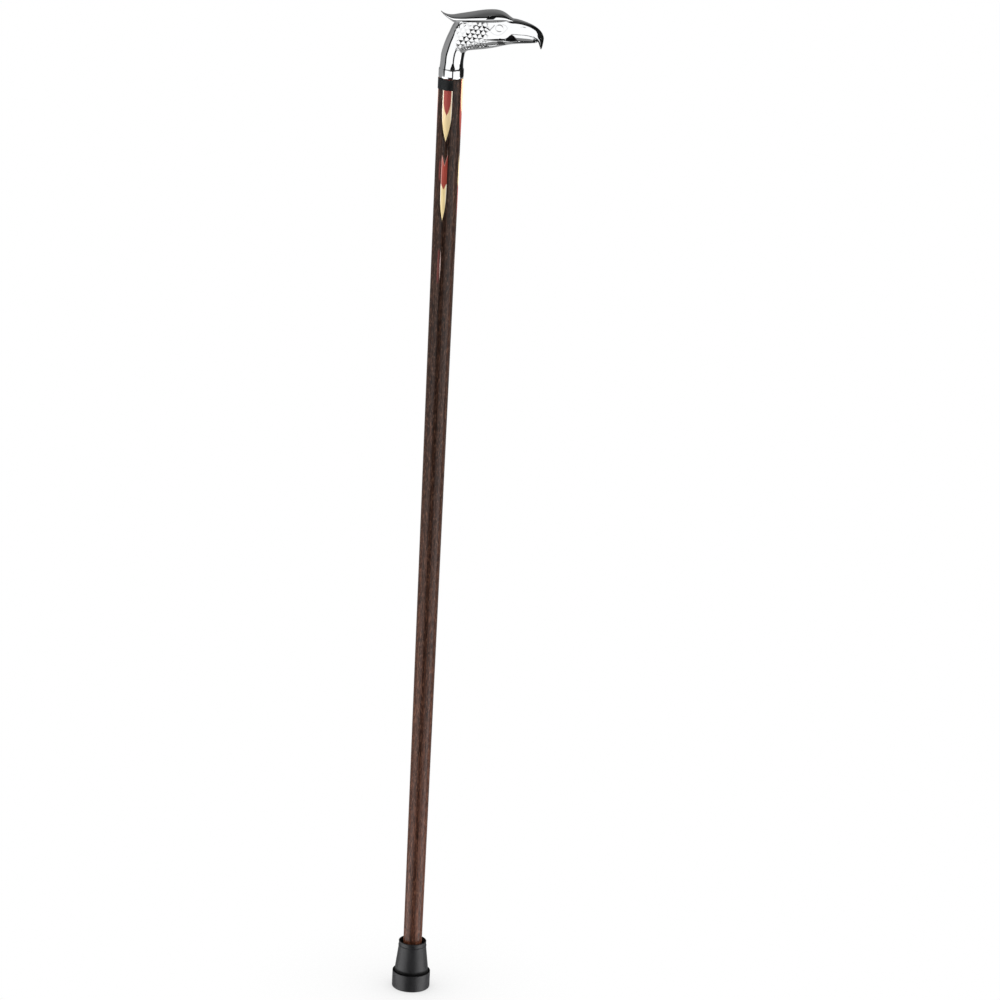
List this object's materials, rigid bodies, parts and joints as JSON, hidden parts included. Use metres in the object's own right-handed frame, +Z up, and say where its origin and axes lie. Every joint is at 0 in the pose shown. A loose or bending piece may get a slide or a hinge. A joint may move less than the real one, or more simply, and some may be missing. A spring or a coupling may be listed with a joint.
{
  "type": "walking cane",
  "caption": "Walking cane: a chrome-plated eagle-head handle on a tapered dark wooden shaft with inlaid red and cream points and a flared rubber tip.",
  "frame": {"origin": "centre of the flat face that the rubber tip stands on", "axes": "+Z up the shaft to the handle, +X the way the beak points, +Y to the cane's left side as seen by the one whose hand is on it"},
  "size_m": [0.0988, 0.0356, 0.9432],
  "materials": {
    "chrome_plate": "mirror polished plate on a casting",
    "plated_steel": "dull zinc plate",
    "dark_wood": "dark straight-grained wood under clear satin lacquer",
    "red_inlay": "red-dyed veneer flush under the lacquer",
    "cream_inlay": "pale veneer flush under the lacquer",
    "black_label": "satin black film, bare",
    "grey_rubber": "matte moulded dark grey rubber"
  },
  "bodies": {
    "cane": {"eagle_head_handle": "chrome_plate", "handle_stud": "plated_steel", "wooden_shaft": "dark_wood", "inlay_1_bullet_surround": "cream_inlay", "inlay_1_bullet_core": "red_inlay", "inlay_1_arrow_head": "red_inlay", "inlay_1_arrow_tip": "cream_inlay", "inlay_1_needle": "cream_inlay", "inlay_2_bullet_surround": "red_inlay", "inlay_2_bullet_core": "cream_inlay", "inlay_2_arrow_head": "cream_inlay", "inlay_2_arrow_tip": "red_inlay", "inlay_2_needle": "cream_inlay", "inlay_3_bullet_surround": "cream_inlay", "inlay_3_bullet_core": "red_inlay", "inlay_3_arrow_head": "red_inlay", "inlay_3_arrow_tip": "cream_inlay", "inlay_3_needle": "cream_inlay", "inlay_4_bullet_surround": "red_inlay", "inlay_4_bullet_core": "cream_inlay", "inlay_4_arrow_head": "cream_inlay", "inlay_4_arrow_tip": "red_inlay", "inlay_4_needle": "cream_inlay", "bare_label": "black_label"},
    "tip": {"rubber_tip": "grey_rubber", "tip_disc": "plated_steel"}
  },
  "joints": [
    {"name": "tip_pull_off", "type": "slide", "parent": "cane", "child": "tip", "axis": [0, 0, -1], "range_m": [0, 0.04]}
  ]
}
